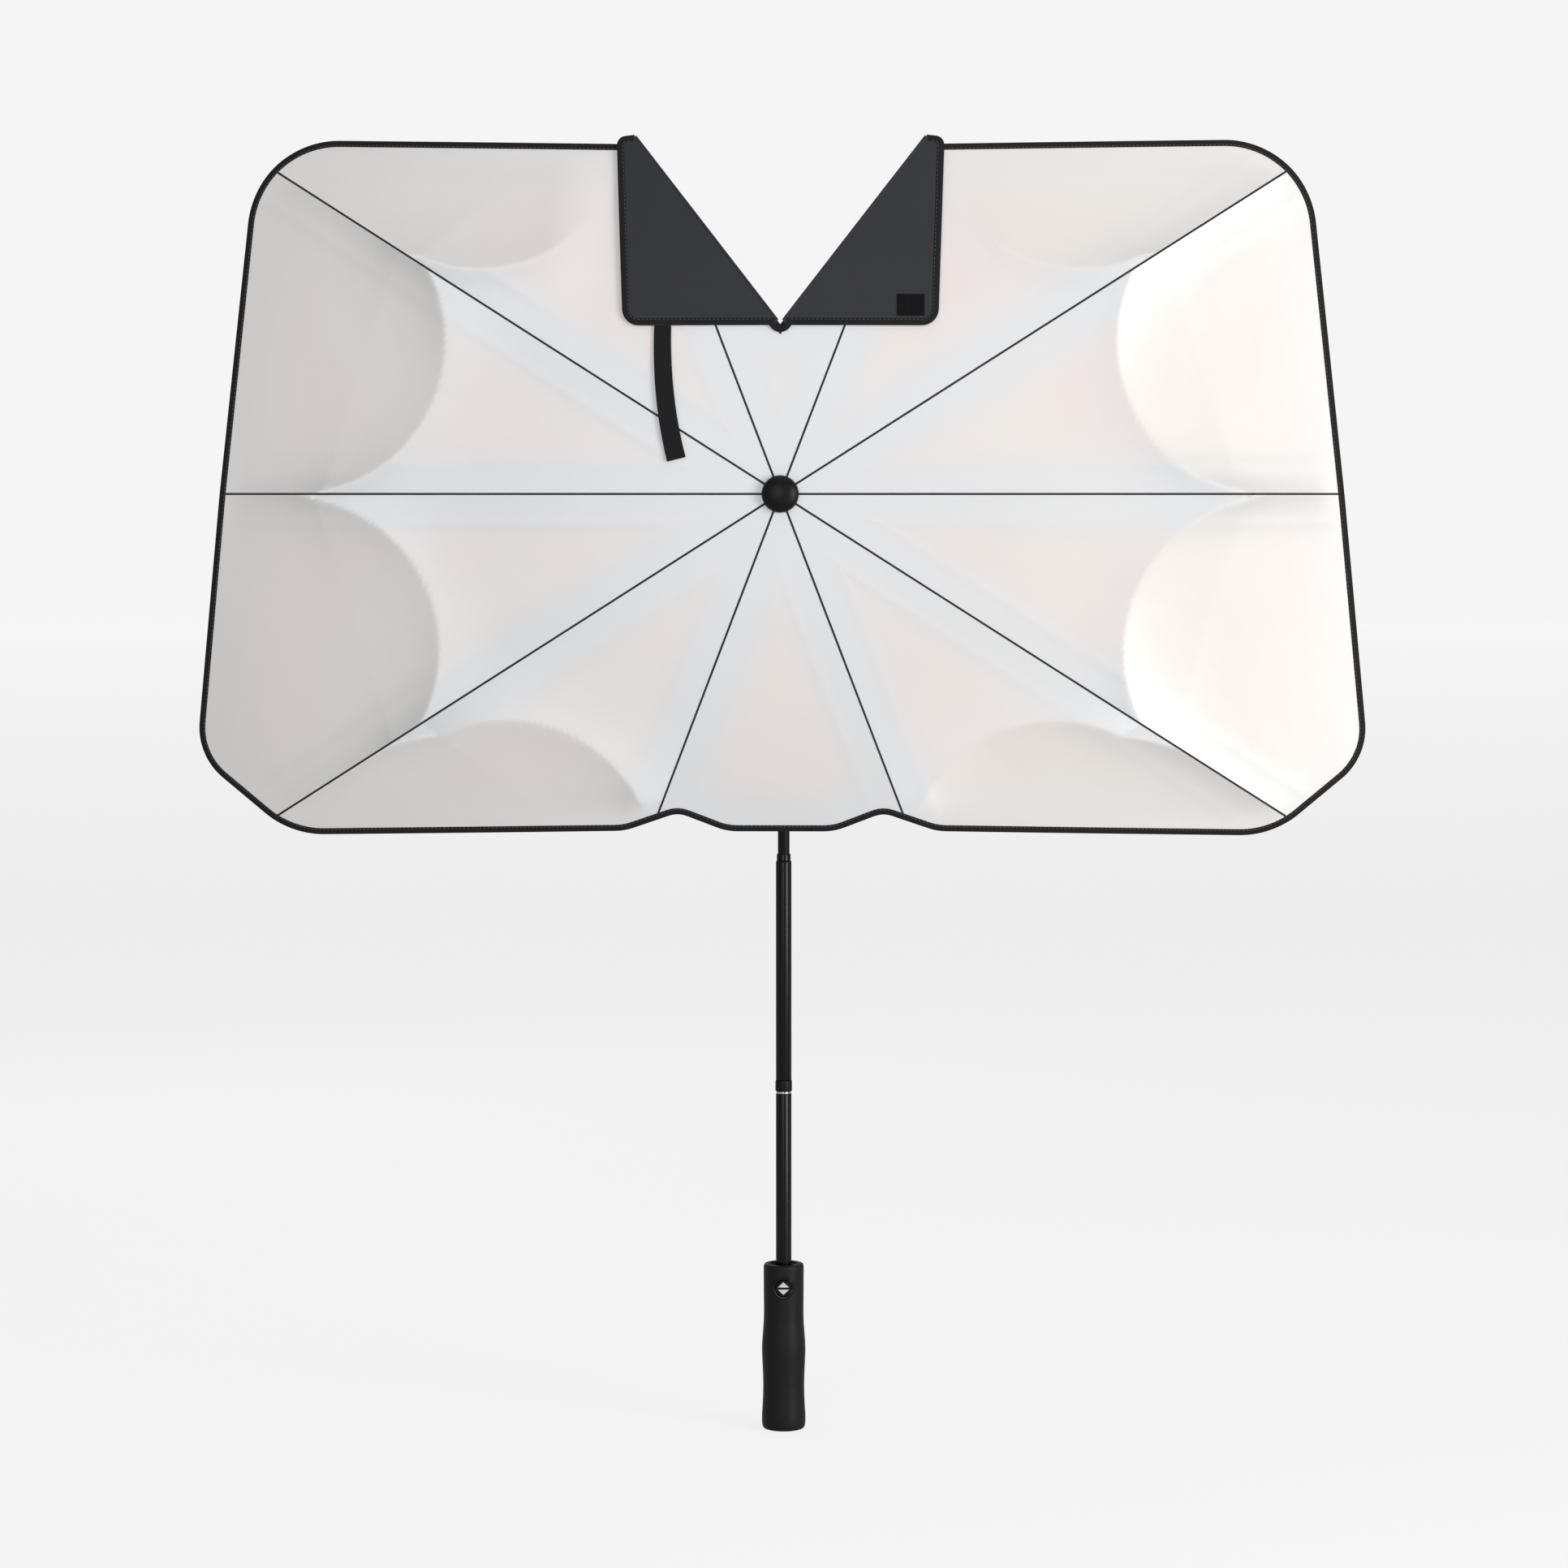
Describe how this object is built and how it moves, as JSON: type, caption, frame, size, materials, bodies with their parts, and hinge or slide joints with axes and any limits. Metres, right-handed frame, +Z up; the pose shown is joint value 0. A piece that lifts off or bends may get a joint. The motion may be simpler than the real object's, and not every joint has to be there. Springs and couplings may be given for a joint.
{
  "type": "windscreen sunshade umbrella",
  "caption": "Folding umbrella sunshade with a wide notched rectangular silver canopy, jointed ribs, an elbow, a telescopic shaft and an upright grip.",
  "frame": {"origin": "centre of the handle's flat base, on the axis of the upright shaft", "axes": "+Z up along the shaft, +X to the viewer's right, the canopy's silver outer side faces -Y"},
  "size_m": [1.2064, 0.2922, 1.377],
  "materials": {
    "grip_rubber": "matt",
    "black_plastic": "satin",
    "button_plastic": "satin",
    "black_steel": "satin black paint",
    "bright_steel": "bright",
    "rib_steel": "satin black",
    "fibreglass": "satin",
    "silver_cloth": "pearly aluminised coating",
    "binding_tape": "matt woven tape",
    "leatherette": "fine-grained coated cloth",
    "strap_webbing": "woven",
    "hook_tape": "hook tape"
  },
  "bodies": {
    "handle": {"handle_grip": "grip_rubber", "end_plug": "black_plastic", "handle_collar": "black_plastic", "button_bezel": "black_plastic", "outer_tube": "black_steel"},
    "button": {"release_button": "button_plastic"},
    "lower_shaft": {"swivel_ring": "bright_steel", "middle_tube": "black_steel", "swivel_collar": "black_plastic"},
    "upper_shaft": {"inner_tube": "black_steel", "elbow_fork": "black_plastic", "elbow_pin": "bright_steel"},
    "head": {"elbow_tongue": "black_plastic", "canopy_tube": "black_steel", "crown_hub": "black_plastic", "crown_wire": "bright_steel", "top_cap": "black_plastic", "canopy": "silver_cloth", "canopy_binding": "binding_tape"},
    "runner": {"runner": "black_plastic"},
    "inner_10": {"rib_inner_10": "rib_steel"},
    "strut_10": {"stretcher_10": "rib_steel"},
    "middle_10": {"rib_middle_10": "rib_steel"},
    "outer_10": {"rib_outer_10": "fibreglass"},
    "inner_01": {"rib_inner_01": "rib_steel"},
    "strut_01": {"stretcher_01": "rib_steel"},
    "middle_01": {"rib_middle_01": "rib_steel"},
    "outer_01": {"rib_outer_01": "fibreglass"},
    "inner_02": {"rib_inner_02": "rib_steel"},
    "strut_02": {"stretcher_02": "rib_steel"},
    "middle_02": {"rib_middle_02": "rib_steel"},
    "outer_02": {"rib_outer_02": "fibreglass"},
    "inner_03": {"rib_inner_03": "rib_steel"},
    "strut_03": {"stretcher_03": "rib_steel"},
    "outer_03": {"rib_outer_03": "fibreglass"},
    "inner_04": {"rib_inner_04": "rib_steel"},
    "strut_04": {"stretcher_04": "rib_steel"},
    "outer_04": {"rib_outer_04": "fibreglass"},
    "inner_05": {"rib_inner_05": "rib_steel"},
    "strut_05": {"stretcher_05": "rib_steel"},
    "middle_05": {"rib_middle_05": "rib_steel"},
    "outer_05": {"rib_outer_05": "fibreglass"},
    "inner_06": {"rib_inner_06": "rib_steel"},
    "strut_06": {"stretcher_06": "rib_steel"},
    "middle_06": {"rib_middle_06": "rib_steel"},
    "outer_06": {"rib_outer_06": "fibreglass"},
    "inner_07": {"rib_inner_07": "rib_steel"},
    "strut_07": {"stretcher_07": "rib_steel"},
    "middle_07": {"rib_middle_07": "rib_steel"},
    "outer_07": {"rib_outer_07": "fibreglass"},
    "inner_08": {"rib_inner_08": "rib_steel"},
    "strut_08": {"stretcher_08": "rib_steel"},
    "outer_08": {"rib_outer_08": "fibreglass"},
    "inner_09": {"rib_inner_09": "rib_steel"},
    "strut_09": {"stretcher_09": "rib_steel"},
    "outer_09": {"rib_outer_09": "fibreglass"},
    "flap_left": {"flap_left": "leatherette", "tie_strap": "strap_webbing"},
    "flap_right": {"flap_right": "leatherette", "hook_patch": "hook_tape"}
  },
  "joints": [
    {"name": "button_press", "type": "slide", "parent": "handle", "child": "button", "axis": [0, 1, 0], "range_m": [0, 0.002], "stiffness_N_per_m": 600, "springref_m": -0.001},
    {"name": "shaft_swivel", "type": "hinge", "parent": "handle", "child": "lower_shaft", "pos_m": [0, 0, 0.3675], "axis": [0, 0, 1], "continuous": true},
    {"name": "shaft_slide", "type": "slide", "parent": "lower_shaft", "child": "upper_shaft", "axis": [0, 0, 1], "range_m": [-0.33, 0]},
    {"name": "elbow_bend", "type": "hinge", "parent": "upper_shaft", "child": "head", "pos_m": [0, 0, 1.013], "axis": [-1, 0, 0], "range_deg": [0, 90]},
    {"name": "runner_slide", "type": "slide", "parent": "head", "child": "runner", "axis": [0, 1, 0], "range_m": [0, 0.1314], "deforming": ["canopy", "canopy_binding", "flap_left", "flap_right", "tie_strap", "hook_patch"]},
    {"name": "rib_10_root", "type": "hinge", "parent": "head", "child": "inner_10", "pos_m": [0.01012, -0.25, 1.00655], "axis": [-0.5373, 0, -0.8434], "range_deg": [-86.21, 0]},
    {"name": "rib_10_strut", "type": "hinge", "parent": "inner_10", "child": "strut_10", "pos_m": [0.08583, -0.24247, 0.95832], "axis": [-0.5373, 0, -0.8434], "range_deg": [0, 142.3]},
    {"name": "rib_10_fold", "type": "hinge", "parent": "inner_10", "child": "middle_10", "pos_m": [0.18742, -0.244, 0.8936], "axis": [-0.5373, 0, -0.8434], "range_deg": [0, 183.95]},
    {"name": "rib_10_tip", "type": "hinge", "parent": "middle_10", "child": "outer_10", "pos_m": [0.34849, -0.21807, 0.79099], "axis": [-0.5373, 0, -0.8434], "range_deg": [-176.17, 0]},
    {"name": "rib_01_root", "type": "hinge", "parent": "head", "child": "inner_01", "pos_m": [0.012, -0.25, 1.013], "axis": [0, 0, -1], "range_deg": [-86.36, 0]},
    {"name": "rib_01_strut", "type": "hinge", "parent": "inner_01", "child": "strut_01", "pos_m": [0.10179, -0.24272, 1.013], "axis": [0, 0, -1], "range_deg": [0, 142.47]},
    {"name": "rib_01_fold", "type": "hinge", "parent": "inner_01", "child": "middle_01", "pos_m": [0.20614, -0.24519, 1.013], "axis": [0, 0, -1], "range_deg": [0, 183.65]},
    {"name": "rib_01_tip", "type": "hinge", "parent": "middle_01", "child": "outer_01", "pos_m": [0.3825, -0.22228, 1.013], "axis": [0, 0, -1], "range_deg": [-176.45, 0]},
    {"name": "rib_02_root", "type": "hinge", "parent": "head", "child": "inner_02", "pos_m": [0.01012, -0.25, 1.01945], "axis": [0.5373, 0, -0.8434], "range_deg": [-86.23, 0]},
    {"name": "rib_02_strut", "type": "hinge", "parent": "inner_02", "child": "strut_02", "pos_m": [0.08583, -0.2425, 1.06768], "axis": [0.5373, 0, -0.8434], "range_deg": [0, 142.32]},
    {"name": "rib_02_fold", "type": "hinge", "parent": "inner_02", "child": "middle_02", "pos_m": [0.18548, -0.24418, 1.13116], "axis": [0.5373, 0, -0.8434], "range_deg": [0, 183.91]},
    {"name": "rib_02_tip", "type": "hinge", "parent": "middle_02", "child": "outer_02", "pos_m": [0.34479, -0.21869, 1.23265], "axis": [0.5373, 0, -0.8434], "range_deg": [-176.21, 0]},
    {"name": "rib_03_root", "type": "hinge", "parent": "head", "child": "inner_03", "pos_m": [0.0043, -0.25, 1.0242], "axis": [0.9336, 0, -0.3584], "range_deg": [-86.45, 0]},
    {"name": "rib_03_strut", "type": "hinge", "parent": "inner_03", "child": "strut_03", "pos_m": [0.03648, -0.24285, 1.10804], "axis": [0.9336, 0, -0.3584], "range_deg": [0, 142.57]},
    {"name": "rib_03_fold", "type": "hinge", "parent": "inner_03", "child": "outer_03", "pos_m": [0.07067, -0.24581, 1.19709], "axis": [0.9336, 0, -0.3584], "range_deg": [0, 183.44]},
    {"name": "rib_04_root", "type": "hinge", "parent": "head", "child": "inner_04", "pos_m": [-0.0043, -0.25, 1.0242], "axis": [0.9336, 0, 0.3584], "range_deg": [-86.45, 0]},
    {"name": "rib_04_strut", "type": "hinge", "parent": "inner_04", "child": "strut_04", "pos_m": [-0.03648, -0.24285, 1.10804], "axis": [0.9336, 0, 0.3584], "range_deg": [0, 142.57]},
    {"name": "rib_04_fold", "type": "hinge", "parent": "inner_04", "child": "outer_04", "pos_m": [-0.07067, -0.24581, 1.19709], "axis": [0.9336, 0, 0.3584], "range_deg": [0, 183.44]},
    {"name": "rib_05_root", "type": "hinge", "parent": "head", "child": "inner_05", "pos_m": [-0.01012, -0.25, 1.01945], "axis": [0.5373, 0, 0.8434], "range_deg": [-86.23, 0]},
    {"name": "rib_05_strut", "type": "hinge", "parent": "inner_05", "child": "strut_05", "pos_m": [-0.08583, -0.2425, 1.06768], "axis": [0.5373, 0, 0.8434], "range_deg": [0, 142.32]},
    {"name": "rib_05_fold", "type": "hinge", "parent": "inner_05", "child": "middle_05", "pos_m": [-0.18548, -0.24418, 1.13116], "axis": [0.5373, 0, 0.8434], "range_deg": [0, 183.91]},
    {"name": "rib_05_tip", "type": "hinge", "parent": "middle_05", "child": "outer_05", "pos_m": [-0.34479, -0.21869, 1.23265], "axis": [0.5373, 0, 0.8434], "range_deg": [-176.21, 0]},
    {"name": "rib_06_root", "type": "hinge", "parent": "head", "child": "inner_06", "pos_m": [-0.012, -0.25, 1.013], "axis": [0, 0, 1], "range_deg": [-86.36, 0]},
    {"name": "rib_06_strut", "type": "hinge", "parent": "inner_06", "child": "strut_06", "pos_m": [-0.10179, -0.24272, 1.013], "axis": [0, 0, 1], "range_deg": [0, 142.47]},
    {"name": "rib_06_fold", "type": "hinge", "parent": "inner_06", "child": "middle_06", "pos_m": [-0.20614, -0.24519, 1.013], "axis": [0, 0, 1], "range_deg": [0, 183.65]},
    {"name": "rib_06_tip", "type": "hinge", "parent": "middle_06", "child": "outer_06", "pos_m": [-0.3825, -0.22228, 1.013], "axis": [0, 0, 1], "range_deg": [-176.45, 0]},
    {"name": "rib_07_root", "type": "hinge", "parent": "head", "child": "inner_07", "pos_m": [-0.01012, -0.25, 1.00655], "axis": [-0.5373, 0, 0.8434], "range_deg": [-86.21, 0]},
    {"name": "rib_07_strut", "type": "hinge", "parent": "inner_07", "child": "strut_07", "pos_m": [-0.08583, -0.24247, 0.95832], "axis": [-0.5373, 0, 0.8434], "range_deg": [0, 142.3]},
    {"name": "rib_07_fold", "type": "hinge", "parent": "inner_07", "child": "middle_07", "pos_m": [-0.18742, -0.244, 0.8936], "axis": [-0.5373, 0, 0.8434], "range_deg": [0, 183.95]},
    {"name": "rib_07_tip", "type": "hinge", "parent": "middle_07", "child": "outer_07", "pos_m": [-0.34849, -0.21807, 0.79099], "axis": [-0.5373, 0, 0.8434], "range_deg": [-176.17, 0]},
    {"name": "rib_08_root", "type": "hinge", "parent": "head", "child": "inner_08", "pos_m": [-0.0043, -0.25, 1.0018], "axis": [-0.9336, 0, 0.3584], "range_deg": [-86.49, 0]},
    {"name": "rib_08_strut", "type": "hinge", "parent": "inner_08", "child": "strut_08", "pos_m": [-0.03648, -0.24291, 0.91796], "axis": [-0.9336, 0, 0.3584], "range_deg": [0, 142.62]},
    {"name": "rib_08_fold", "type": "hinge", "parent": "inner_08", "child": "outer_08", "pos_m": [-0.06929, -0.24607, 0.8325], "axis": [-0.9336, 0, 0.3584], "range_deg": [0, 183.37]},
    {"name": "rib_09_root", "type": "hinge", "parent": "head", "child": "inner_09", "pos_m": [0.0043, -0.25, 1.0018], "axis": [-0.9336, 0, -0.3584], "range_deg": [-86.49, 0]},
    {"name": "rib_09_strut", "type": "hinge", "parent": "inner_09", "child": "strut_09", "pos_m": [0.03648, -0.24291, 0.91796], "axis": [-0.9336, 0, -0.3584], "range_deg": [0, 142.62]},
    {"name": "rib_09_fold", "type": "hinge", "parent": "inner_09", "child": "outer_09", "pos_m": [0.06929, -0.24607, 0.8325], "axis": [-0.9336, 0, -0.3584], "range_deg": [0, 183.37]},
    {"name": "flap_left_turn", "type": "hinge", "parent": "outer_04", "child": "flap_left", "pos_m": [-0.00298, -0.25092, 1.18845], "axis": [0.61, -0.0868, -0.7877], "range_deg": [0, 175]},
    {"name": "flap_right_turn", "type": "hinge", "parent": "outer_03", "child": "flap_right", "pos_m": [0.00298, -0.25092, 1.18845], "axis": [0.61, 0.0868, 0.7877], "range_deg": [0, 165]}
  ],
  "couplings": [
    {"joint": "rib_10_root", "follows": "runner_slide", "rad_per_m": -11.448},
    {"joint": "rib_10_strut", "follows": "runner_slide", "rad_per_m": 18.898},
    {"joint": "rib_10_fold", "follows": "runner_slide", "rad_per_m": 24.431},
    {"joint": "rib_10_tip", "follows": "runner_slide", "rad_per_m": -23.397},
    {"joint": "rib_01_root", "follows": "runner_slide", "rad_per_m": -11.469},
    {"joint": "rib_01_strut", "follows": "runner_slide", "rad_per_m": 18.922},
    {"joint": "rib_01_fold", "follows": "runner_slide", "rad_per_m": 24.391},
    {"joint": "rib_01_tip", "follows": "runner_slide", "rad_per_m": -23.435},
    {"joint": "rib_02_root", "follows": "runner_slide", "rad_per_m": -11.451},
    {"joint": "rib_02_strut", "follows": "runner_slide", "rad_per_m": 18.902},
    {"joint": "rib_02_fold", "follows": "runner_slide", "rad_per_m": 24.425},
    {"joint": "rib_02_tip", "follows": "runner_slide", "rad_per_m": -23.402},
    {"joint": "rib_03_root", "follows": "runner_slide", "rad_per_m": -11.48},
    {"joint": "rib_03_strut", "follows": "runner_slide", "rad_per_m": 18.935},
    {"joint": "rib_03_fold", "follows": "runner_slide", "rad_per_m": 24.363},
    {"joint": "rib_04_root", "follows": "runner_slide", "rad_per_m": -11.48},
    {"joint": "rib_04_strut", "follows": "runner_slide", "rad_per_m": 18.935},
    {"joint": "rib_04_fold", "follows": "runner_slide", "rad_per_m": 24.363},
    {"joint": "rib_05_root", "follows": "runner_slide", "rad_per_m": -11.451},
    {"joint": "rib_05_strut", "follows": "runner_slide", "rad_per_m": 18.902},
    {"joint": "rib_05_fold", "follows": "runner_slide", "rad_per_m": 24.425},
    {"joint": "rib_05_tip", "follows": "runner_slide", "rad_per_m": -23.402},
    {"joint": "rib_06_root", "follows": "runner_slide", "rad_per_m": -11.469},
    {"joint": "rib_06_strut", "follows": "runner_slide", "rad_per_m": 18.922},
    {"joint": "rib_06_fold", "follows": "runner_slide", "rad_per_m": 24.391},
    {"joint": "rib_06_tip", "follows": "runner_slide", "rad_per_m": -23.435},
    {"joint": "rib_07_root", "follows": "runner_slide", "rad_per_m": -11.448},
    {"joint": "rib_07_strut", "follows": "runner_slide", "rad_per_m": 18.898},
    {"joint": "rib_07_fold", "follows": "runner_slide", "rad_per_m": 24.431},
    {"joint": "rib_07_tip", "follows": "runner_slide", "rad_per_m": -23.397},
    {"joint": "rib_08_root", "follows": "runner_slide", "rad_per_m": -11.485},
    {"joint": "rib_08_strut", "follows": "runner_slide", "rad_per_m": 18.94},
    {"joint": "rib_08_fold", "follows": "runner_slide", "rad_per_m": 24.353},
    {"joint": "rib_09_root", "follows": "runner_slide", "rad_per_m": -11.485},
    {"joint": "rib_09_strut", "follows": "runner_slide", "rad_per_m": 18.94},
    {"joint": "rib_09_fold", "follows": "runner_slide", "rad_per_m": 24.353}
  ]
}
